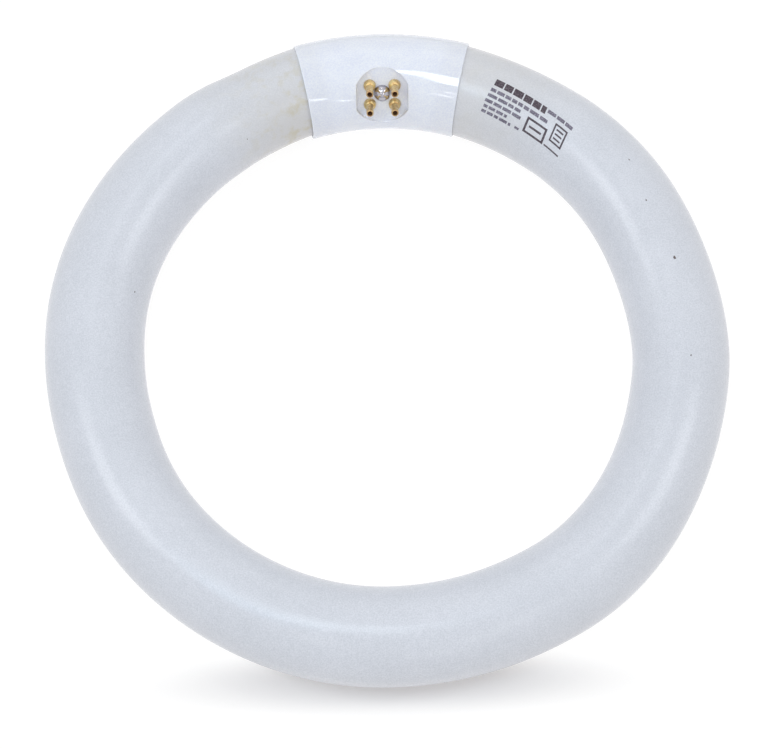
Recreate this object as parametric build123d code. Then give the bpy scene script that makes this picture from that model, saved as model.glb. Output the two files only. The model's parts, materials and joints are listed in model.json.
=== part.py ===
from build123d import *
import os
from math import cos, degrees, radians, sin, tan

# All lengths in millimetres and all angles in degrees.
# The ring lies flat on z = 0 with its centre on the Z axis, and the cap is on the +Y side.

# Glass tube
ring_radius = 91.0           # centreline of the bent tube
tube_radius = 15.0           # glass of the bent ring
shoulder_radius = 7.5        # rounded shoulder that closes each end
shoulder_inside = 1.5        # the shoulder begins this far inside the cap's mouth
tip_radius = 2.2             # sealed exhaust tip on each end
tip_length = 5.0
taper_steps = 4

# Each end leaves the ring in a short bend, then runs on one gentle arc into the cap and draws
# thinner on the way. The two ends of a hand-bent tube differ a little.
left_end = {
    "bend_at": 33.0,
    "bend_turn": 3.25,
    "bend_radius": 25.0,
    "taper": 9.0,
    "end_radius": 14.15,
    "mouth_shift": 0.4,
}
right_end = {
    "bend_at": 41.0,
    "bend_turn": 5.5,
    "bend_radius": 50.0,
    "taper": 18.0,
    "end_radius": 14.35,
    "mouth_shift": -0.1,
}

# Cap: a curved sleeve in two shells, parted along the ring at right angles to the pins
cap_radius = 15.2            # outside of the sleeve
cap_bore = 14.0              # inside of the sleeve
mouth_bore = 14.7            # wider bore where each mouth slips over the glass
mouth_depth = 6.5
mouth_polar = 16.2           # where each mouth crosses the centreline, from the middle of the cap
mouth_slope = 12.3           # lean of the mouth planes, a little less than radial
edge_round = 0.3             # rounded outer edge of the mouths
cap_sweep = 22.0             # the sleeve is turned this far each way, then cut at the mouths
tongue_radius = 14.45        # outside of the rear shell's locating tongue
tongue_height = 1.0
tongue_gap = 0.1
tongue_end_gap = 0.5
tongue_inset = 8.0           # the tongue stops this far inside the mouths

# Pin seat: a flat pocket cut into the front shell, square to the pins
pin_tilt = 45.0              # lean of the pins from upright, towards the ring's centre
seat_height = 12.0           # seat above the tube's centreline
seat_radius = 9.3            # outline of the pocket
seat_half_width = 8.25       # flat sides of the pocket
seat_thickness = 1.8
seat_wall = 1.2              # wall round the pocket
seat_corner = 0.4            # rounded foot of the pocket's walls

# Contact pins, in a rectangle on the seat
pin_along = 7.92             # spacing along the tube
pin_across = 6.35            # spacing across the tube
pin_top = 20.6               # tip above the tube's centreline
pin_barrel = 1.15
pin_flange = 1.95
pin_flange_height = 0.6
pin_neck_height = 2.2        # from the seat to the start of the straight barrel
pin_shank = 1.45             # through the seat's wall
pin_collar = 1.85            # swaged under the seat
pin_collar_height = 0.6
pin_tail_height = 1.7        # below the seat's inner face
pin_tip_round = 0.25
pin_mouth_radius = 0.8       # hollow tip
pin_mouth_depth = 3.0
pin_bore = 0.42
pin_hole = 1.5               # hole in the seat

# Rivet through both shells, a little off the middle of the seat
rivet_across = 0.45          # from the middle of the seat, away from the ring's centre
rivet_head_radius = 2.75
rivet_head_height = 2.1
rivet_shank = 1.5
rivet_hole = 1.55
rivet_tail_radius = 2.6
rivet_tail_height = 0.9
rivet_roll_radius = 1.3      # lowest ring of the rolled tail
rivet_tail_bore = 0.8
rivet_tail_bore_depth = 3.0
recess_radius = 3.2          # recess in the rear shell that sinks the rivet's tail
recess_floor = 13.0          # its floor, below the tube's centreline
boss_radius = 2.9
recess_boss_radius = 4.4
recess_boss_top = 11.6
gusset_thickness = 1.0

# Lead wires
wire_radius = 0.3
wire_offset = 3.7            # from the axis of the tube's end
wire_start = 3.0             # straight length out of the glass
wire_turn_height = 1.0       # where each lead turns towards its pin
wire_bend = 5.0
wire_end = pin_top - pin_mouth_depth

overlap = 0.2                # shapes of one moulding run this far into each other
beyond = 1.0                 # shapes that are cut away reach this far past the material

axis_height = cap_radius     # the cap's underside touches the ground

tilt_sin = sin(radians(pin_tilt))
tilt_cos = cos(radians(pin_tilt))
cap_centre = Vector(0, ring_radius, axis_height)

# Local frame of the seat: x along the tube, y across it, z the way the pins point
seat_plane = Plane(origin=cap_centre, x_dir=(1, 0, 0), z_dir=(0, -tilt_sin, tilt_cos))

# The cap's section: x across the tube, y the way the pins point
section_plane = Plane(origin=cap_centre, x_dir=seat_plane.y_dir, z_dir=(1, 0, 0))

from_base = (Align.CENTER, Align.CENTER, Align.MIN)


def ring_point(polar, radius=ring_radius):
    """Point at the tube's height, at an angle from the middle of the cap."""
    return Vector(radius * sin(radians(polar)), radius * cos(radians(polar)), axis_height)


def after_bend(station, radius, turn):
    """The station at the end of a bend towards the ring's centre."""
    pivot = station.origin + station.x_dir * radius
    heading = station.z_dir.rotate(Axis.Z, turn)
    inward = station.x_dir.rotate(Axis.Z, turn)
    return Plane(origin=pivot - inward * radius, x_dir=inward, z_dir=heading)


def bent_tube(station, radius, turn, tube):
    """A bend of even thickness towards the ring's centre."""
    pivot = station.origin + station.x_dir * radius
    return revolve(station * Circle(tube), Axis(pivot, (0, 0, 1)), turn)


def bent_taper(station, radius, turn, end_radius):
    """A bend towards the ring's centre that draws evenly thinner."""
    sections = []
    for step in range(taper_steps + 1):
        share = step / taper_steps
        place = after_bend(station, radius, turn * share)
        sections.append(place * Circle(tube_radius + (end_radius - tube_radius) * share))
    return loft(sections)


def end_cap_of_glass(station, end_radius):
    """The rounded shoulder, flat end and exhaust tip, turned about the tube's own axis."""
    flat_radius = end_radius - shoulder_radius
    flat_at = shoulder_radius
    tip_top = flat_at + tip_length
    tip_side = tip_top - tip_radius
    shoulder = TangentArc((end_radius, 0), (flat_radius, flat_at), tangent=(0, 1))
    flat = Polyline((flat_radius, flat_at), (tip_radius, flat_at), (tip_radius, tip_side))
    tip_round = TangentArc((tip_radius, tip_side), (0, tip_top), tangent=(0, 1))
    closing = Polyline((0, tip_top), (0, 0), (end_radius, 0))
    profile = Plane.XZ * make_face([shoulder, flat, tip_round, closing])
    return station * revolve(profile, Axis.Z, 360)


def bend_station(end):
    """Where the bent ring stops and the end of the tube begins, heading for the cap."""
    start = ring_point(end["bend_at"])
    inward = (Vector(0, 0, axis_height) - start).normalized()
    heading = inward.rotate(Axis.Z, -90)
    return Plane(origin=start, x_dir=inward, z_dir=heading)


def tube_end(end):
    """One end of the glass on the +X side, and the station at its rounded shoulder."""
    end_radius = end["end_radius"]
    start = bend_station(end)
    bend = bent_tube(start, end["bend_radius"], end["bend_turn"], tube_radius)
    start = after_bend(start, end["bend_radius"], end["bend_turn"])
    chord = ring_point(mouth_polar, ring_radius + end["mouth_shift"]) - start.origin
    turn = start.z_dir.get_angle(chord)
    radius = chord.length / (2 * sin(radians(turn)))
    taper_turn = degrees(end["taper"] / radius)
    whole_turn = 2 * turn + degrees(shoulder_inside / radius)
    taper = bent_taper(start, radius, taper_turn, end_radius)
    thin = after_bend(start, radius, taper_turn)
    run = bent_tube(thin, radius, whole_turn - taper_turn, end_radius)
    shoulder = after_bend(start, radius, whole_turn)
    return bend + taper + run + end_cap_of_glass(shoulder, end_radius), shoulder


def glass_tube():
    """The whole tube as one solid, sealed at both ends."""
    first = left_end["bend_at"]
    last = right_end["bend_at"]
    circle = Plane(origin=ring_point(0), x_dir=(0, 1, 0), z_dir=(1, 0, 0)) * Circle(tube_radius)
    ring = revolve(circle.rotate(Axis.Z, first), Axis.Z, 360 - first - last)
    right, _ = tube_end(right_end)
    left, _ = tube_end(left_end)
    return ring + right + mirror(left, Plane.YZ)


def ring_sector(section):
    """A section of the cap turned about the ring's axis."""
    return revolve(section.rotate(Axis.Z, -cap_sweep), Axis.Z, 2 * cap_sweep)


def between_mouths(inset):
    """The wedge between the cap's two mouth planes, each moved in by inset."""
    middle = ring_point(mouth_polar)
    slope = tan(radians(mouth_slope))
    inner = middle.Y - 2 * cap_radius
    outer = middle.Y + 2 * cap_radius
    half = middle.X - inset / cos(radians(mouth_slope))
    near = half + (inner - middle.Y) * slope
    far = half + (outer - middle.Y) * slope
    outline = Polyline((-near, inner), (near, inner), (far, outer), (-far, outer), close=True)
    return extrude(make_face(outline), 2 * cap_radius)


def sleeve(radius, inset=0.0):
    """A curved cylinder on the tube's centreline, from mouth to mouth."""
    return ring_sector(section_plane * Circle(radius)) & between_mouths(inset)


def half_space(side):
    """The space on one side of the parting surface."""
    size = 3 * cap_radius
    return ring_sector(section_plane * Pos(0, side * size / 2) * Rectangle(size, size))


def tongue(outside, height, root, inset):
    """A thin band inside the shell's wall, standing across the parting surface."""
    ring = Circle(outside) - Circle(cap_bore)
    band = Pos(0, (height - root) / 2) * Rectangle(4 * cap_radius, height + root)
    return ring_sector(section_plane * (ring & band)) & between_mouths(inset)


def cap_wall():
    """The sleeve's wall, with the wider bore inside each mouth."""
    outside = sleeve(cap_radius)
    outside = fillet(outside.edges(), edge_round)
    mouths = sleeve(mouth_bore, -beyond) - sleeve(mouth_bore + beyond, mouth_depth)
    return outside - sleeve(cap_bore, -beyond) - mouths


def seat_cylinder(radius, low, high, along=0.0, across=rivet_across):
    """A cylinder along the pins' direction, between two heights above the tube's centreline."""
    return seat_plane * Pos(along, across, low) * Cylinder(radius, high - low, align=from_base)


def gusset(wall_height, tip_height, half_length):
    """A thin web in the middle of a shell that braces its rivet boss."""
    web = Polyline(
        (-half_length, wall_height),
        (half_length, wall_height),
        (boss_radius, tip_height),
        (-boss_radius, tip_height),
        close=True,
    )
    return seat_plane * extrude(Plane.XZ * make_face(web), gusset_thickness / 2, both=True)


def seat_outline(margin):
    """The pocket's outline, a circle with two flat sides."""
    return Circle(seat_radius + margin) & Rectangle(2 * (seat_half_width + margin), 4 * seat_radius)


def pin_places():
    """Where the four pins stand, along and across the tube."""
    return [(x * pin_along / 2, y * pin_across / 2) for y in (1, -1) for x in (-1, 1)]


def cap_front_shell():
    """The shell that carries the pins."""
    seat_inside = seat_height - seat_thickness
    shell = cap_wall() & half_space(1)
    block = seat_plane * Pos(0, 0, seat_inside) * extrude(seat_outline(seat_wall), cap_radius)
    shell += block & sleeve(cap_radius - overlap)
    shell += seat_cylinder(boss_radius, 0, seat_inside + overlap)
    shell += gusset(seat_inside + overlap, seat_inside / 2, seat_half_width)
    pocket = extrude(seat_outline(0), cap_radius)
    pocket = fillet(pocket.faces().sort_by(Axis.Z)[0].edges(), seat_corner)
    shell -= seat_plane * Pos(0, 0, seat_height) * pocket
    shell -= seat_cylinder(rivet_hole, -beyond, cap_radius)
    for along, across in pin_places():
        shell -= seat_cylinder(pin_hole, seat_inside - beyond, cap_radius, along, across)
    groove_radius = tongue_radius + tongue_gap
    groove_height = tongue_height + tongue_gap
    return shell - tongue(groove_radius, groove_height, beyond, tongue_inset - tongue_end_gap)


def cap_rear_shell():
    """The plain shell behind, with the locating tongue and the recess for the rivet's tail."""
    shell = cap_wall() & half_space(-1)
    shell += tongue(tongue_radius, tongue_height, overlap, tongue_inset)
    shell += seat_cylinder(boss_radius, -recess_floor, 0)
    shell += seat_cylinder(recess_boss_radius, -cap_bore - overlap, -recess_boss_top)
    shell += gusset(-cap_bore - overlap, -cap_bore / 3, seat_half_width)
    shell -= seat_cylinder(recess_radius, -2 * cap_radius, -recess_floor)
    return shell - seat_cylinder(rivet_hole, -cap_radius, beyond)


def contact_pin(along, across):
    """A hollow brass pin, swaged into the seat, with a flange, a rounded neck and an open tip."""
    seat_inside = seat_height - seat_thickness
    tail = seat_inside - pin_tail_height
    collar = seat_inside - pin_collar_height
    flange_top = seat_height + pin_flange_height
    barrel_start = seat_height + pin_neck_height
    barrel_end = pin_top - pin_tip_round
    tip_edge = pin_barrel - pin_tip_round
    lower = Polyline(
        (pin_bore, tail),
        (pin_barrel, tail),
        (pin_barrel, collar),
        (pin_collar, collar),
        (pin_collar, seat_inside),
        (pin_shank, seat_inside),
        (pin_shank, seat_height),
        (pin_flange, seat_height),
        (pin_flange, flange_top),
    )
    neck = TangentArc((pin_flange, flange_top), (pin_barrel, barrel_start), tangent=(0, 1))
    barrel = Line((pin_barrel, barrel_start), (pin_barrel, barrel_end))
    tip = TangentArc((pin_barrel, barrel_end), (tip_edge, pin_top), tangent=(0, 1))
    inside = Polyline(
        (tip_edge, pin_top),
        (pin_mouth_radius, pin_top),
        (pin_mouth_radius, pin_top - pin_mouth_depth),
        (pin_bore, pin_top - pin_mouth_depth),
        (pin_bore, tail),
    )
    profile = Plane.XZ * make_face([lower, neck, barrel, tip, inside])
    return seat_plane * Pos(along, across, 0) * revolve(profile, Axis.Z, 360)


def cap_rivet():
    """The rivet that holds the shells together: domed head on the seat, rolled tail behind."""
    head_top = seat_height + rivet_head_height
    tail_end = -recess_floor - rivet_tail_height
    head = TangentArc((0, head_top), (rivet_head_radius, seat_height), tangent=(1, 0))
    shank = Polyline(
        (rivet_head_radius, seat_height),
        (rivet_shank, seat_height),
        (rivet_shank, -recess_floor),
        (rivet_tail_radius, -recess_floor),
    )
    roll = TangentArc((rivet_tail_radius, -recess_floor), (rivet_roll_radius, tail_end), tangent=(0, -1))
    inside = Polyline(
        (rivet_roll_radius, tail_end),
        (rivet_tail_bore, tail_end + rivet_roll_radius - rivet_tail_bore),
        (rivet_tail_bore, tail_end + rivet_tail_bore_depth),
        (0, tail_end + rivet_tail_bore_depth),
        (0, head_top),
    )
    profile = Plane.XZ * make_face([head, shank, roll, inside])
    return seat_plane * Pos(0, rivet_across, 0) * revolve(profile, Axis.Z, 360)


def lead_wire(along, across):
    """A lead from the sealed end of the tube, along the cap and up into its pin."""
    end = right_end if along > 0 else left_end
    _, shoulder = tube_end(end)
    upwards = seat_plane.y_dir * (1 if across > 0 else -1)
    sideways = (upwards - shoulder.z_dir * upwards.dot(shoulder.z_dir)).normalized()
    start = shoulder.origin + shoulder.z_dir * shoulder_radius + sideways * wire_offset
    straight = start + shoulder.z_dir * wire_start
    if along < 0:
        start = Vector(-start.X, start.Y, start.Z)
        straight = Vector(-straight.X, straight.Y, straight.Z)
    corner = seat_plane.from_local_coords(Vector(along, across, wire_turn_height))
    inside_pin = seat_plane.from_local_coords(Vector(along, across, wire_end))
    route = FilletPolyline(start, straight, corner, inside_pin, radius=wire_bend)
    section = Plane(origin=start, z_dir=straight - start) * Circle(wire_radius)
    return sweep(section, path=route)


os.makedirs("parts", exist_ok=True)
parts = {
    "glass_tube": glass_tube(),
    "cap_front_shell": cap_front_shell(),
    "cap_rear_shell": cap_rear_shell(),
    "cap_rivet": cap_rivet(),
}
for number, (along, across) in enumerate(pin_places(), start=1):
    parts[f"contact_pin_{number}"] = contact_pin(along, across)
    parts[f"lead_wire_{number}"] = lead_wire(along, across)
for name, part in parts.items():
    export_step(part, f"parts/{name}.step")
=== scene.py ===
import json
import math
import random

import bmesh
import bpy
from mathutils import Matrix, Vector


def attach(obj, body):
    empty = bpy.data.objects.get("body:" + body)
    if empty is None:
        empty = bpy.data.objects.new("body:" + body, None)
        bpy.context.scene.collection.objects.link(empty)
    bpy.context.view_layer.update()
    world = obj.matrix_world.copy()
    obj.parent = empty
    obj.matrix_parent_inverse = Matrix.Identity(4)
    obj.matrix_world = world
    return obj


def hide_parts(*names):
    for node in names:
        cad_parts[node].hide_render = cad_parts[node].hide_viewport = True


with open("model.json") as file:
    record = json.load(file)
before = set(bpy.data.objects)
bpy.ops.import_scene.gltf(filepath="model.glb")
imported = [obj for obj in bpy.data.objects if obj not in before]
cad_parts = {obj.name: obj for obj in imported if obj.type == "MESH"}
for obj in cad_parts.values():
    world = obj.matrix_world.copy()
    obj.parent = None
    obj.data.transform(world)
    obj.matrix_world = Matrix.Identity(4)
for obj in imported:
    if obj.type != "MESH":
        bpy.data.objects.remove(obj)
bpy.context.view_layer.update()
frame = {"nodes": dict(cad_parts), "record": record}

# Lengths are in metres and angles in degrees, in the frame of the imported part:
# the ring lies flat, its centre is on the Z axis and the cap is on the +Y side.
# Polar angles run clockwise from the cap's middle. Section angles run round the tube,
# from 0 at the outside of the ring over 90 at the top to 180 at the inside.
mm = 0.001

# Glass tube, as in the part
ring_radius = 91.0 * mm
tube_radius = 15.0 * mm
axis_height = 15.2 * mm
shoulder_radius = 7.5 * mm
shoulder_inside = 1.5 * mm
tip_radius = 2.2 * mm
tip_length = 5.0 * mm
mouth_polar = 16.2

# The two ends: a short bend, then one gentle arc into the cap. The glass draws thinner between two
# polar angles.
left_end = {
    "bend_at": 33.0,
    "bend_turn": 3.25,
    "bend_radius": 25.0 * mm,
    "thins_from": 38.5,
    "thins_to": 26.0,
    "end_radius": 14.15 * mm,
    "mouth_shift": 0.4 * mm,
}
right_end = {
    "bend_at": 41.0,
    "bend_turn": 5.5,
    "bend_radius": 50.0 * mm,
    "thins_from": 60.0,
    "thins_to": 24.0,
    "end_radius": 14.35 * mm,
    "mouth_shift": -0.1 * mm,
}

# Hand bending left the ring a little out of round. Each wave has its polar angle, its half width,
# and how far the centreline moves outwards there, or how much the glass gets wider.
centre_waves = [
    (134, 16, 1.15 * mm),
    (122, 26, 0.3 * mm),
    (143, 8, 0.25 * mm),
    (72, 12, -0.6 * mm),
    (93, 7, 0.35 * mm),
    (174, 12, -0.3 * mm),
    (254, 13, -0.75 * mm),
    (269, 8, -0.2 * mm),
    (290, 15, 0.45 * mm),
    (331, 7, -0.25 * mm),
    (38, 8, -0.16 * mm),
]
width_waves = [
    (116, 16, -0.3 * mm),
    (276, 22, 0.4 * mm),
    (318, 7, -0.16 * mm),
    (56, 10, -0.08 * mm),
]
even_until = 19              # the glass is even up to this polar angle, where the cap holds it
uneven_from = 27

# Wear: the glass gets duller and warmer from the first polar angle to the second
worn_left = (-44, -17)
worn_right = (46, 17)

# Fineness of the glass skin
round_steps = 96             # vertices round the glass
ring_step = 0.9              # polar step of the bent ring
bend_steps = 6               # stations in the short bend of each end
arc_steps = 34               # stations in the arc into the cap
shoulder_steps = 10          # stations in the round shoulder
tip_angles = (30, 55, 75, 87)

# Cap, seat and pins, as in the part
mouth_bore = 14.7 * mm
mouth_slope = 12.3           # lean of the mouth planes
seat_tilt = 45.0
pin_along = 7.92 * mm
pin_across = 6.35 * mm
pin_top = 20.6 * mm
pin_mouth_radius = 0.8 * mm

# Packing in the two mouths of the cap
packing_inset = 0.25 * mm
packing_thickness = 0.6 * mm
packing_overlap = 0.1 * mm   # how far it goes into the glass and into the cap
packing_steps = 72           # vertices round each of its edges

# Print: where the block begins, and how its x axis turns from the tube's direction
print_polar = 22.9
print_section = 88.4
print_slant = 4.6
print_lift = 0.03 * mm
print_sink = 0.05 * mm
print_grid = 0.45 * mm       # largest step of the mesh of a bar

# Specks of dirt: polar angle, section angle, and reach from the middle to the edge
speck_places = [
    (75.5, 83.8, 0.62 * mm),
    (53.8, 73.3, 0.36 * mm),
    (62.6, 86.0, 0.34 * mm),
    (95.4, 84.8, 0.3 * mm),
    (-77.9, 141.0, 0.3 * mm),
    (-32.2, 139.0, 0.26 * mm),
]

# Camera, matched to the photograph
photo_width = 775            # pixels
camera_elevation = 71.54
camera_azimuth = -1.0
camera_distance = 722.6 * mm
sensor_width = 36.0
camera_lens = 107.95
centre_right = -0.8          # pixels from the picture's middle to the ring's centre
centre_up = 26.1

# Floor: the full shadow shows in an oval along the front edge of the ring, and fades from a part of
# the way out of its middle
floor_reach = 3.0
floor_colour = (0.91, 0.88, 0.86, 1.0)
floor_glow = 1.1
front_shadow_place = -102.0 * mm
front_shadow_length = 92.0 * mm
front_shadow_width = 12.0 * mm
front_shadow_full = 0.3

lamp_distance = 1.1


def turned(vector, degrees):
    """A vector turned about Z."""
    cosine = math.cos(math.radians(degrees))
    sine = math.sin(math.radians(degrees))
    x = vector.x * cosine - vector.y * sine
    y = vector.x * sine + vector.y * cosine
    return Vector((x, y, vector.z))


def polar_direction(polar):
    """Unit vector from the ring's centre at a polar angle."""
    return Vector((math.sin(math.radians(polar)), math.cos(math.radians(polar)), 0))


def smooth(low, high, value):
    """A smooth step from 0 at low to 1 at high."""
    t = min(1.0, max(0.0, (value - low) / (high - low)))
    return t * t * (3 - 2 * t)


def wave(waves, polar):
    """Sum of smooth bumps at a polar angle."""
    total = 0.0
    for at, half_width, height in waves:
        away = (polar - at + 180) % 360 - 180
        total += height * math.exp(-(away / half_width) ** 2)
    return total


def colour(red, green, blue):
    """A colour as it looks on a screen, 0 to 255, turned into linear light."""
    result = []
    for value in (red, green, blue):
        level = value / 255
        result.append(level / 12.92 if level <= 0.04045 else ((level + 0.055) / 1.055) ** 2.4)
    return (*result, 1.0)


# Colours of the surfaces
glass_shade = colour(206, 209, 216)
glass_light = colour(225, 227, 234)
glass_worn = colour(212, 209, 206)
glass_stain = colour(202, 194, 168)
plastic_shade = colour(228, 232, 249)
plastic_light = colour(243, 246, 255)
brass_light = colour(230, 208, 150)
brass_tarnish = colour(200, 158, 114)
brass_tip = colour(130, 82, 60)
# Dark flux in the pin mouths, with painted shade of the holes
brass_hole_flux_and_shade = colour(120, 42, 42)
rivet_light = colour(182, 180, 186)
rivet_tarnish = colour(160, 157, 168)
wire_shade = colour(178, 172, 166)
wire_light = colour(206, 202, 198)


# Camera
def make_camera():
    """The camera looks down on the ring, a little from its front."""
    azimuth = math.radians(camera_azimuth)
    elevation = math.radians(camera_elevation)
    flat = math.cos(elevation)
    back = Vector((math.sin(azimuth) * flat, -math.cos(azimuth) * flat, math.sin(elevation)))
    data = bpy.data.cameras.new("camera")
    data.lens = camera_lens
    data.sensor_width = sensor_width
    data.clip_start = 0.01
    data.shift_x = -centre_right / photo_width
    data.shift_y = -centre_up / photo_width
    camera = bpy.data.objects.new("camera", data)
    camera.location = Vector((0, 0, axis_height)) + back * camera_distance
    camera.rotation_euler = (-back).to_track_quat("-Z", "Y").to_euler()
    bpy.context.scene.collection.objects.link(camera)
    bpy.context.scene.camera = camera


make_camera()


# Materials
class Nodes:
    """A material's node tree, with short calls for the nodes that the materials use."""

    def __init__(self, name):
        self.material = bpy.data.materials.new(name)
        self.material.use_nodes = True
        self.tree = self.material.node_tree
        self.tree.nodes.clear()
        self.output = self.add("ShaderNodeOutputMaterial")
        self.place = self.add("ShaderNodeTexCoord").outputs["Object"]
        separate = self.add("ShaderNodeSeparateXYZ")
        self.tree.links.new(self.place, separate.inputs[0])
        self.x, self.y, self.z = separate.outputs

    def add(self, kind, **settings):
        node = self.tree.nodes.new(kind)
        for key, value in settings.items():
            setattr(node, key, value)
        return node

    def put(self, source, socket):
        """Links a socket or sets a plain value."""
        if isinstance(source, bpy.types.NodeSocket):
            self.tree.links.new(source, socket)
        else:
            socket.default_value = source

    def math(self, operation, *values, clamp=False):
        node = self.add("ShaderNodeMath", operation=operation, use_clamp=clamp)
        for value, socket in zip(values, node.inputs):
            self.put(value, socket)
        return node.outputs[0]

    def step(self, value, low, high, at_low=0.0, at_high=1.0):
        """A smooth step of a value from one level to another."""
        node = self.add("ShaderNodeMapRange", interpolation_type="SMOOTHSTEP")
        for given, socket in zip((value, low, high, at_low, at_high), node.inputs):
            self.put(given, socket)
        return node.outputs["Result"]

    def length(self, first, second):
        """Length of a vector with two components."""
        squares = [self.math("POWER", value, 2.0) for value in (first, second)]
        return self.math("SQRT", self.math("ADD", *squares))

    def swing(self, noise, amount, middle, clamp=False):
        """A value that swings about its middle with the noise."""
        return self.math("MULTIPLY_ADD", self.math("SUBTRACT", noise, 0.5), amount, middle, clamp=clamp)

    def noise(self, size, detail=2.0, roughness=0.5, stretch=None):
        """Noise with features about as large as size, in metres; stretch scales the axes."""
        node = self.add("ShaderNodeTexNoise")
        node.inputs["Scale"].default_value = 1 / size
        node.inputs["Detail"].default_value = detail
        node.inputs["Roughness"].default_value = roughness
        where = self.place
        if stretch:
            mapping = self.add("ShaderNodeMapping")
            mapping.inputs["Scale"].default_value = stretch
            self.tree.links.new(where, mapping.inputs["Vector"])
            where = mapping.outputs["Vector"]
        self.tree.links.new(where, node.inputs["Vector"])
        return node.outputs["Fac"]

    def blend(self, factor, first, second):
        """A mix of two colours."""
        node = self.add("ShaderNodeMix", data_type="RGBA")
        sockets = [node.inputs["Factor"]] + [s for s in node.inputs if s.type == "RGBA"]
        for given, socket in zip((factor, first, second), sockets):
            self.put(given, socket)
        return [s for s in node.outputs if s.type == "RGBA"][0]

    def bump(self, height, distance, normal=None):
        node = self.add("ShaderNodeBump")
        node.inputs["Distance"].default_value = distance
        self.put(height, node.inputs["Height"])
        if normal is not None:
            self.put(normal, node.inputs["Normal"])
        return node.outputs["Normal"]

    def surface(self, **settings):
        """A Principled shader; the keys are socket names with underscores for spaces."""
        shader = self.add("ShaderNodeBsdfPrincipled")
        for key, value in settings.items():
            self.put(value, shader.inputs[key.replace("_", " ")])
        self.tree.links.new(shader.outputs["BSDF"], self.output.inputs["Surface"])
        return self.material


def glass_wear(n):
    """How worn the glass is at the left end and at the right end, from 0 to 1."""
    polar = n.math("ARCTAN2", n.x, n.y)
    left = n.step(polar, *[math.radians(angle) for angle in worn_left])
    right = n.step(polar, *[math.radians(angle) for angle in worn_right])
    at_left = n.math("MULTIPLY", left, n.math("LESS_THAN", polar, 0.0))
    at_right = n.math("MULTIPLY", right, n.math("GREATER_THAN", polar, 0.0))
    return at_left, at_right


def glass_material():
    """Satin glass over a chalky white coating, mottled, duller and warmer towards the two ends."""
    n = Nodes("coated_glass")
    grain = n.noise(0.45 * mm, detail=2.0, roughness=0.7)
    mottle = n.noise(2.6 * mm, detail=3.0, roughness=0.6)
    cloud = n.noise(24 * mm, detail=2.0)
    tone = n.swing(grain, 2.6, 0.5)
    tone = n.swing(mottle, 0.5, tone)
    tone = n.swing(cloud, 0.6, tone, clamp=True)
    base = n.blend(tone, glass_shade, glass_light)

    # The left end is more worn on the side of the ring's centre
    at_left, at_right = glass_wear(n)
    inner_side = n.step(n.length(n.x, n.y), ring_radius + 4 * mm, ring_radius - 13 * mm)
    worn = n.math("MULTIPLY", at_left, n.math("MULTIPLY_ADD", inner_side, 0.55, 0.45))
    worn = n.math("MULTIPLY_ADD", at_right, 0.55, worn)
    base = n.blend(n.math("MULTIPLY", worn, 0.8), base, glass_worn)

    # Yellowish stains in the worn glass, mostly at the left end
    patches = n.step(n.noise(5 * mm, detail=4.0, roughness=0.65), 0.45, 0.66)
    strength = n.math("MULTIPLY_ADD", at_left, 0.6, 0.15)
    stain = n.math("MULTIPLY", n.math("MULTIPLY", patches, worn), strength)
    base = n.blend(stain, base, glass_stain)

    rough = n.math("MULTIPLY_ADD", mottle, 0.1, 0.19)
    rough = n.math("MULTIPLY_ADD", worn, -0.04, rough)
    uneven = n.bump(n.noise(20 * mm, detail=1.0), 0.35 * mm)
    normal = n.bump(grain, 0.015 * mm, uneven)
    return n.surface(Base_Color=base, Roughness=rough, Normal=normal, Specular_IOR_Level=0.5, IOR=1.5)


def plastic_material():
    """Glossy bluish-white moulding, with a fine grain and a faint flow pattern."""
    n = Nodes("cap_plastic")
    cloud = n.noise(9 * mm, detail=3.0)
    fine = n.noise(0.5 * mm, detail=2.0, roughness=0.7)
    tone = n.swing(fine, 2.6, cloud, clamp=True)
    base = n.blend(tone, plastic_shade, plastic_light)
    rough = n.math("MULTIPLY_ADD", n.noise(3 * mm, detail=3.0), 0.05, 0.04)
    wavy = n.bump(n.noise(11 * mm, detail=1.0), 0.03 * mm)
    normal = n.bump(n.noise(0.9 * mm, detail=2.0), 0.002 * mm, wavy)
    return n.surface(
        Base_Color=base,
        Roughness=rough,
        Normal=normal,
        Subsurface_Weight=0.5,
        Subsurface_Radius=(1.0, 1.0, 1.0),
        Subsurface_Scale=1.0 * mm,
    )


def seat_axes(n):
    """Place in the seat's frame: along the tube, across it, and up the pins."""
    cosine = math.cos(math.radians(seat_tilt))
    sine = math.sin(math.radians(seat_tilt))
    y = n.math("SUBTRACT", n.y, ring_radius)
    z = n.math("SUBTRACT", n.z, axis_height)
    across = n.math("ADD", n.math("MULTIPLY", y, cosine), n.math("MULTIPLY", z, sine))
    up = n.math("SUBTRACT", n.math("MULTIPLY", z, cosine), n.math("MULTIPLY", y, sine))
    return n.x, across, up


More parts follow.
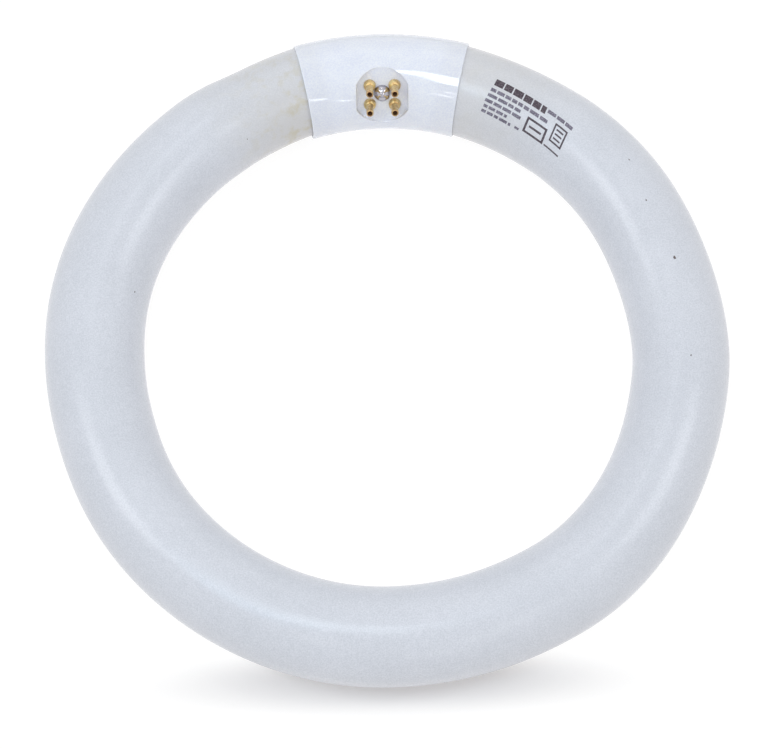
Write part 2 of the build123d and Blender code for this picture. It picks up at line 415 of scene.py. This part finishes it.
def brass_material():
    """Bright drawn brass, tarnished in patches, brown at the tips, and dark inside them with flux and
    painted shade of the holes.
    """
    n = Nodes("pin_brass")
    along, across, up = seat_axes(n)
    off_along = n.math("SUBTRACT", n.math("ABSOLUTE", along), pin_along / 2)
    off_across = n.math("SUBTRACT", n.math("ABSOLUTE", across), pin_across / 2)
    from_axis = n.length(off_along, off_across)
    patches = n.step(n.noise(1.1 * mm, detail=4.0, roughness=0.6), 0.42, 0.66)
    base = n.blend(n.math("MULTIPLY", patches, 0.7), brass_light, brass_tarnish)
    tip = n.step(up, pin_top - 0.6 * mm, pin_top - 0.1 * mm)
    base = n.blend(n.math("MULTIPLY", tip, 0.45), base, brass_tip)
    # Inside each pin mouth: dark flux and painted shade of the hole, not metal
    hole_flux_and_shade = n.step(from_axis, pin_mouth_radius + 0.05 * mm, pin_mouth_radius - 0.05 * mm)
    base = n.blend(hole_flux_and_shade, base, brass_hole_flux_and_shade)
    rough = n.math("MULTIPLY_ADD", patches, 0.2, 0.3)
    metal = n.math("SUBTRACT", 1.0, hole_flux_and_shade)
    normal = n.bump(n.noise(0.35 * mm, detail=3.0), 0.01 * mm)
    return n.surface(Base_Color=base, Metallic=metal, Roughness=rough, Normal=normal)


def rivet_material():
    """Polished head, slightly tarnished in soft patches."""
    n = Nodes("rivet_metal")
    patches = n.step(n.noise(1.4 * mm, detail=3.0), 0.44, 0.62)
    base = n.blend(patches, rivet_light, rivet_tarnish)
    rough = n.math("MULTIPLY_ADD", patches, 0.05, 0.11)
    normal = n.bump(n.noise(0.5 * mm, detail=2.0), 0.002 * mm)
    return n.surface(Base_Color=base, Metallic=1.0, Roughness=rough, Normal=normal)


def wire_material():
    """Tinned copper lead."""
    n = Nodes("lead_metal")
    drawn = n.noise(0.3 * mm, detail=2.0)
    base = n.blend(drawn, wire_shade, wire_light)
    rough = n.math("MULTIPLY_ADD", drawn, 0.2, 0.25)
    return n.surface(Base_Color=base, Metallic=1.0, Roughness=rough)


def ink_material(name, dark, pale):
    """Printed ink, thin and broken by the grain of the glass."""
    n = Nodes(name)
    worn = n.step(n.noise(0.45 * mm, detail=3.0, roughness=0.7), 0.42, 0.66)
    base = n.blend(worn, dark, pale)
    return n.surface(Base_Color=base, Roughness=0.55)


materials = {
    "coated_glass": glass_material(),
    "cap_plastic": plastic_material(),
    "pin_brass": brass_material(),
    "rivet_metal": rivet_material(),
    "lead_metal": wire_material(),
}
heavy_ink = ink_material("heavy_ink", colour(58, 46, 56), colour(104, 94, 102))
light_ink = ink_material("light_ink", colour(96, 90, 106), colour(150, 146, 160))
speck_material = ink_material("speck_dirt", colour(92, 82, 80), colour(130, 122, 120))


# Glass tube
def bend_stations(station, radius, turn, steps):
    """Stations along a bend towards the ring's centre. A station has a centre, a heading and an inward
    side."""
    centre, heading, inward = station
    pivot = centre + inward * radius
    result = []
    for i in range(1, steps + 1):
        side = turned(inward, turn * i / steps)
        result.append((pivot - side * radius, turned(heading, turn * i / steps), side))
    return result


def glass_radius(end, centre):
    """Radius of the glass at a point of its centreline."""
    polar = abs(math.degrees(math.atan2(centre.x, centre.y)))
    thinned = smooth(end["thins_from"], end["thins_to"], polar)
    return tube_radius + (end["end_radius"] - tube_radius) * thinned


def shoulder_and_tip(station, glass):
    """Stations and glass radii of the round shoulder and the exhaust tip beyond a last station."""
    centre, heading, inward = station
    result = []
    for i in range(1, shoulder_steps + 1):
        angle = math.radians(90 * i / shoulder_steps)
        place = centre + heading * shoulder_radius * math.sin(angle)
        result.append(((place, heading, inward), glass - shoulder_radius * (1 - math.cos(angle))))
    root = centre + heading * shoulder_radius
    side = tip_length - tip_radius
    for along in (0, side):
        result.append(((root + heading * along, heading, inward), tip_radius))
    for degrees in tip_angles:
        angle = math.radians(degrees)
        along = side + tip_radius * math.sin(angle)
        result.append(((root + heading * along, heading, inward), tip_radius * math.cos(angle)))
    return result


def end_stations(end):
    """Stations and glass radii from the ring's bend to the sealed exhaust tip, for the +X side."""
    inward = -polar_direction(end["bend_at"])
    start = (polar_direction(end["bend_at"]) * ring_radius, turned(inward, -90), inward)
    bend = bend_stations(start, end["bend_radius"], end["bend_turn"], bend_steps)
    centre, heading, inward = bend[-1]
    chord = polar_direction(mouth_polar) * (ring_radius + end["mouth_shift"]) - centre
    turn = math.degrees(heading.angle(chord))
    radius = chord.length / (2 * math.sin(math.radians(turn)))
    whole_turn = 2 * turn + math.degrees(shoulder_inside / radius)
    run = bend_stations(bend[-1], radius, whole_turn, arc_steps)
    result = [(station, glass_radius(end, station[0])) for station in bend + run]
    return result + shoulder_and_tip(run[-1], end["end_radius"])


def mirrored(stations):
    """Stations of the +X side turned into those of the -X side, from the tip to the bend."""
    result = []
    for (centre, heading, inward), glass in reversed(stations):
        station = (
            Vector((-centre.x, centre.y, 0)),
            Vector((heading.x, -heading.y, 0)),
            Vector((-inward.x, inward.y, 0)),
        )
        result.append((station, glass))
    return result


def tube_stations():
    """The whole tube, from the left tip round the ring to the right tip: centre, outward side, half
    width and half height of the glass, with its uneven places."""
    stations = mirrored(end_stations(left_end))
    first = 360 - left_end["bend_at"]
    last = right_end["bend_at"]
    steps = round((first - last) / ring_step)
    for i in range(steps + 1):
        polar = first + (last - first) * i / steps
        end = left_end if polar > 180 else right_end
        outward = polar_direction(polar)
        glass = glass_radius(end, outward)
        stations.append(((outward * ring_radius, turned(outward, 90), -outward), glass))
    stations += end_stations(right_end)
    result = []
    for (centre, _, inward), glass in stations:
        polar = math.degrees(math.atan2(centre.x, centre.y))
        fade = smooth(even_until, uneven_from, abs(polar))
        moved = centre - inward * wave(centre_waves, polar) * fade
        wide = glass + wave(width_waves, polar) * fade * glass / tube_radius
        result.append((moved, -inward, wide, glass))
    return result


tube = tube_stations()


def on_station(station, section, lift=0.0):
    """A point of the glass at a section angle, or above it by lift."""
    centre, outward, wide, high = station
    angle = math.radians(section)
    across = outward * (wide + lift) * math.cos(angle)
    up = Vector((0, 0, axis_height + (high + lift) * math.sin(angle)))
    return centre + across + up


def mesh_piece(name, points, faces, material, smooth_faces=True):
    """A mesh that rides with the lamp."""
    mesh = bpy.data.meshes.new(name)
    mesh.from_pydata([tuple(p) for p in points], [], faces)
    shape = bmesh.new()
    shape.from_mesh(mesh)
    bmesh.ops.recalc_face_normals(shape, faces=shape.faces)
    shape.to_mesh(mesh)
    shape.free()
    mesh.polygons.foreach_set("use_smooth", [smooth_faces] * len(mesh.polygons))
    mesh.materials.append(material)
    piece = bpy.data.objects.new(name, mesh)
    bpy.context.scene.collection.objects.link(piece)
    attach(piece, "root")
    return piece


def glass_ring():
    """One closed skin of the whole tube."""
    points = []
    faces = []
    for station in tube:
        for j in range(round_steps):
            points.append(on_station(station, 360 * j / round_steps))
    for i in range(len(tube) - 1):
        for j in range(round_steps):
            k = (j + 1) % round_steps
            row = i * round_steps
            faces.append((row + j, row + k, row + round_steps + k, row + round_steps + j))
    for station, row in ((tube[0], 0), (tube[-1], (len(tube) - 1) * round_steps)):
        middle = len(points)
        points.append(station[0] + Vector((0, 0, axis_height)))
        for j in range(round_steps):
            faces.append((row + j, row + (j + 1) % round_steps, middle))
    ring = mesh_piece("glass_ring", points, faces, materials["coated_glass"])
    ring.data.set_sharp_from_angle(angle=math.radians(40))
    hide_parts("glass_tube")


glass_ring()


def mouth_packing(name, end, side):
    """A pale ring of packing between the glass and the mouth of the cap, just inside its edge. The side
    is -1 for the left mouth and 1 for the right one."""
    points = []
    faces = []
    glass = (end["end_radius"] - packing_overlap, end["mouth_shift"])
    shell = (mouth_bore + packing_overlap, 0.0)
    front = packing_inset
    back = packing_inset + packing_thickness
    middle = polar_direction(side * mouth_polar) * ring_radius
    across = polar_direction(side * mouth_slope)
    inwards = polar_direction(side * (mouth_slope - 90))
    edges = ((front, glass), (front, shell), (back, shell), (back, glass))
    for depth, (radius, shift) in edges:
        for j in range(packing_steps):
            angle = math.radians(360 * j / packing_steps)
            reach = across * (shift + radius * math.cos(angle))
            up = Vector((0, 0, axis_height + radius * math.sin(angle)))
            points.append(middle + inwards * depth + reach + up)
    for band in range(len(edges)):
        row = band * packing_steps
        after = (band + 1) % len(edges) * packing_steps
        for j in range(packing_steps):
            k = (j + 1) % packing_steps
            faces.append((row + j, row + k, after + k, after + j))
    mesh_piece(name, points, faces, materials["cap_plastic"], smooth_faces=False)


mouth_packing("mouth_packing_left", left_end, -1)
mouth_packing("mouth_packing_right", right_end, 1)


# What lies on the glass: the place of a spot is given by its polar and section angle
def glass_point(polar, section, lift):
    """A point on the uneven glass, or above it by lift."""
    wanted = polar % 360
    for first, second in zip(tube, tube[1:]):
        start = math.degrees(math.atan2(first[0].x, first[0].y)) % 360
        stop = math.degrees(math.atan2(second[0].x, second[0].y)) % 360
        if stop <= wanted <= start and start > stop:
            part = (start - wanted) / (start - stop)
            return on_station(first, section, lift).lerp(on_station(second, section, lift), part)


def patch_place(origin, slant, x, y):
    """Polar and section angle of a point of a flat layout, x along the tube and y down towards the
    ring's centre, in metres, laid on the glass with its x axis at a slant."""
    cosine = math.cos(math.radians(slant))
    sine = math.sin(math.radians(slant))
    section = origin[1] + math.degrees((x * sine + y * cosine) / tube_radius)
    reach = ring_radius + tube_radius * math.cos(math.radians(section))
    return origin[0] + math.degrees((x * cosine - y * sine) / reach), section


class Print:
    """Thin slabs of ink that follow the glass, gathered into one piece. Its layout is in millimetres."""

    def __init__(self):
        self.points = []
        self.faces = []

    def bar(self, x, y, width, height):
        """A rectangle, its middle at x and y."""
        columns = max(2, math.ceil(width * mm / print_grid) + 1)
        rows = max(2, math.ceil(height * mm / print_grid) + 1)
        first = len(self.points)
        for lift in (print_lift, -print_sink):
            for row in range(rows):
                for column in range(columns):
                    along = (x + width * (column / (columns - 1) - 0.5)) * mm
                    down = (y + height * (row / (rows - 1) - 0.5)) * mm
                    place = patch_place((print_polar, print_section), print_slant, along, down)
                    self.points.append(glass_point(*place, lift))
        self.join(first, rows, columns)

    def join(self, first, rows, columns):
        """Faces of the upper side, the under side and the rim of a slab whose points start at first."""
        under = rows * columns
        for row in range(rows - 1):
            for column in range(columns - 1):
                a = first + row * columns + column
                self.faces.append((a, a + 1, a + columns + 1, a + columns))
                b = a + under
                self.faces.append((b, b + columns, b + columns + 1, b + 1))
        rim = list(range(columns))
        rim += [row * columns + columns - 1 for row in range(1, rows)]
        rim += [(rows - 1) * columns + column for column in range(columns - 2, -1, -1)]
        rim += [row * columns for row in range(rows - 2, 0, -1)]
        for a, b in zip(rim, rim[1:] + rim[:1]):
            self.faces.append((first + a, first + a + under, first + b + under, first + b))

    def frame(self, x, y, width, height, line):
        """The outline of a rectangle, from four bars that meet at the corners."""
        for side in (-1, 1):
            self.bar(x, y + side * (height - line) / 2, width, line)
            self.bar(x + side * (width - line) / 2, y, line, height - 2 * line)

    def make(self, name, material):
        mesh_piece(name, self.points, self.faces, material, smooth_faces=False)


def printed_rows(heavy, light):
    """Seven rows of bars of random length. A row has its y, start, end and height, its ink, and its
    shortest and longest bar."""
    rng = random.Random(4)
    gap = 0.45
    rows = [
        (0.0, 0.6, 19.2, 2.4, heavy, 2.6, 4.4),
        (-0.4, 19.8, 29.6, 1.2, light, 1.6, 3.2),
        (2.9, 0.4, 21.0, 1.2, light, 1.4, 3.4),
        (4.9, 0.3, 12.8, 1.1, light, 1.4, 3.6),
        (6.8, 0.2, 13.2, 1.1, light, 1.4, 3.2),
        (8.7, 0.5, 8.6, 1.0, light, 1.2, 2.8),
        (10.5, 0.5, 10.6, 1.0, light, 1.2, 2.8),
    ]
    for y, start, stop, height, ink, shortest, longest in rows:
        x = start
        while x < stop - shortest / 2:
            width = min(rng.uniform(shortest, longest), stop - x)
            ink.bar(x + width / 2, y, width, height)
            x += width + gap


def printed_block():
    """A block of plain bars and boxes where such a lamp carries its print."""
    heavy = Print()
    light = Print()
    printed_rows(heavy, light)
    light.bar(12.8, 10.3, 1.5, 0.8)

    # A box with one bar, a box with three, and a bar below the second box
    heavy.frame(18.4, 7.4, 7.4, 5.2, 0.7)
    heavy.bar(18.4, 7.4, 4.4, 0.7)
    heavy.frame(26.2, 4.4, 5.0, 6.0, 0.55)
    for y in (3.0, 4.4, 5.8):
        heavy.bar(26.2, y, 2.8, 0.55)
    heavy.bar(25.8, 9.6, 6.2, 0.5)
    heavy.make("print_heavy", heavy_ink)
    light.make("print_light", light_ink)


printed_block()


def specks():
    """Small stuck specks of dirt, each a flat irregular blob of three rings."""
    rng = random.Random(11)
    corners = 14
    rings = ((1.0, -print_sink), (0.85, 0.05 * mm), (0.4, 0.1 * mm))
    points = []
    faces = []
    for polar, section, size in speck_places:
        first = len(points)
        stretch = rng.uniform(0.6, 1.0)
        reach = [size * rng.uniform(0.75, 1.15) for _ in range(corners)]
        for scale, lift in rings:
            for i in range(corners):
                angle = math.radians(360 * i / corners)
                x = reach[i] * scale * math.cos(angle)
                y = reach[i] * scale * math.sin(angle) * stretch
                place = patch_place((polar, section), 0, x, y)
                points.append(glass_point(*place, lift))
        for ring in range(len(rings) - 1):
            row = first + ring * corners
            for i in range(corners):
                k = (i + 1) % corners
                faces.append((row + i, row + k, row + corners + k, row + corners + i))
        top = first + (len(rings) - 1) * corners
        faces.append(tuple(top + i for i in range(corners)))
        faces.append(tuple(first + i for i in reversed(range(corners))))
    mesh_piece("dirt_specks", points, faces, speck_material)


specks()


# Finish of the parts that stay as modelled
def dress_nodes():
    """A material for each part but the glass, which has a skin of its own."""
    slot_of = {part["node"]: part["material_slot"] for part in frame["record"]["subparts"]}
    for name, node in frame["nodes"].items():
        if name == "glass_tube":
            continue
        material = materials[slot_of[name]]
        if not node.material_slots:
            node.data.materials.append(material)
        for slot in node.material_slots:
            slot.material = material


dress_nodes()


# Studio
def ray_share(tree, plain, seen):
    """A level that is plain for light on the object and seen for what camera, gloss and glass show."""
    path = tree.nodes.new("ShaderNodeLightPath")
    total = path.outputs["Is Camera Ray"]
    for name in ("Is Glossy Ray", "Is Transmission Ray"):
        node = tree.nodes.new("ShaderNodeMath")
        node.operation = "MAXIMUM"
        tree.links.new(total, node.inputs[0])
        tree.links.new(path.outputs[name], node.inputs[1])
        total = node.outputs[0]
    level = tree.nodes.new("ShaderNodeMapRange")
    level.inputs["To Min"].default_value = plain
    if isinstance(seen, bpy.types.NodeSocket):
        tree.links.new(seen, level.inputs["To Max"])
    else:
        level.inputs["To Max"].default_value = seen
    tree.links.new(total, level.inputs["Value"])
    return level.outputs["Result"]


def make_world(light):
    """White surroundings that light the object at a lower level."""
    world = bpy.data.worlds.new("studio")
    bpy.context.scene.world = world
    world.use_nodes = True
    tree = world.node_tree
    background = tree.nodes["Background"]
    background.inputs["Color"].default_value = (1, 1, 1, 1)
    tree.links.new(ray_share(tree, light, 1.0), background.inputs["Strength"])


def make_floor(kept_shadow, bounce):
    """A white floor that shows the object's shadow at a part of its depth, and at its full depth just
    in front of the ring."""
    mesh = bpy.data.meshes.new("floor")
    corners = [(x * floor_reach, y * floor_reach, 0) for x, y in ((-1, -1), (1, -1), (1, 1), (-1, 1))]
    mesh.from_pydata(corners, [], [(0, 1, 2, 3)])
    floor = bpy.data.objects.new("floor", mesh)
    bpy.context.scene.collection.objects.link(floor)
    n = Nodes("floor")
    diffuse = n.add("ShaderNodeBsdfDiffuse")
    diffuse.inputs["Color"].default_value = floor_colour
    glow = n.add("ShaderNodeEmission")
    glow.inputs["Strength"].default_value = floor_glow
    along = n.math("DIVIDE", n.x, front_shadow_length)
    across = n.math("SUBTRACT", n.y, front_shadow_place)
    away = n.length(along, n.math("DIVIDE", across, front_shadow_width))
    hidden = n.step(away, front_shadow_full, 1.0, 0.0, 1 - kept_shadow)
    mix = n.add("ShaderNodeMixShader")
    n.put(ray_share(n.tree, bounce, hidden), mix.inputs["Fac"])
    n.put(diffuse.outputs[0], mix.inputs[1])
    n.put(glow.outputs[0], mix.inputs[2])
    n.put(mix.outputs[0], n.output.inputs["Surface"])
    mesh.materials.append(n.material)


def make_lamp(name, direction, size, level, tint=(1, 1, 1), roll=0.0, distance=lamp_distance):
    """A soft box that shines at the object. The level is how bright its face looks, where 1 is white."""
    light = bpy.data.lights.new(name, "AREA")
    light.shape = "RECTANGLE"
    light.size, light.size_y = size
    light.energy = level * math.pi * size[0] * size[1]
    light.color = tint
    lamp = bpy.data.objects.new(name, light)
    towards = Vector(direction).normalized()
    lamp.matrix_world = towards.to_track_quat("Z", "Y").to_matrix().to_4x4()
    lamp.location = Vector((0, 0, axis_height)) + towards * distance
    lamp.rotation_euler.rotate_axis("Z", math.radians(roll))
    bpy.context.scene.collection.objects.link(lamp)


def make_lamps():
    """Soft boxes above, beside and behind the ring, and narrow strips and spots low in front of it."""
    blue_white = (0.8, 0.91, 1.0)
    blue = (0.5, 0.76, 1.0)
    cool_white = (0.93, 0.96, 1.0)
    pale_blue = (0.92, 0.96, 1.0)
    make_lamp("overhead_strip", (-0.075, -0.035, 1.0), (0.075, 0.39), 11.0, blue_white, roll=43)
    make_lamp("corner_box", (-0.29, -0.2, 1.0), (0.2, 0.36), 3.0, blue, roll=19)
    make_lamp("left_box", (-0.6, -0.02, 0.8), (0.34, 0.5), 3.5, cool_white)
    make_lamp("right_box", (0.6, -0.02, 0.8), (0.34, 0.5), 3.0, cool_white)
    make_lamp("back_fill", (0.0, 0.8, 0.6), (1.2, 0.6), 0.5, distance=1.3)
    make_lamp("low_strip_1", (0.18, -0.864, 0.47), (0.045, 0.17), 5.5, roll=-36)
    make_lamp("low_strip_2", (0.262, -0.68, 0.685), (0.045, 0.18), 5.5, roll=-16)
    make_lamp("low_strip_3", (0.35, -0.5, 0.79), (0.05, 0.28), 4.0, roll=-54)
    make_lamp("low_spot_1", (-0.221, -0.635, 0.74), (0.065, 0.06), 9.0)
    make_lamp("low_spot_2", (-0.217, -0.503, 0.837), (0.055, 0.05), 9.0)
    make_lamp("back_spot", (-0.1, 0.42, 0.9), (0.12, 0.12), 4.5, pale_blue)


make_world(light=0.55)
make_floor(kept_shadow=0.2, bounce=0.45)
make_lamps()
bpy.context.scene.view_settings.view_transform = "Standard"
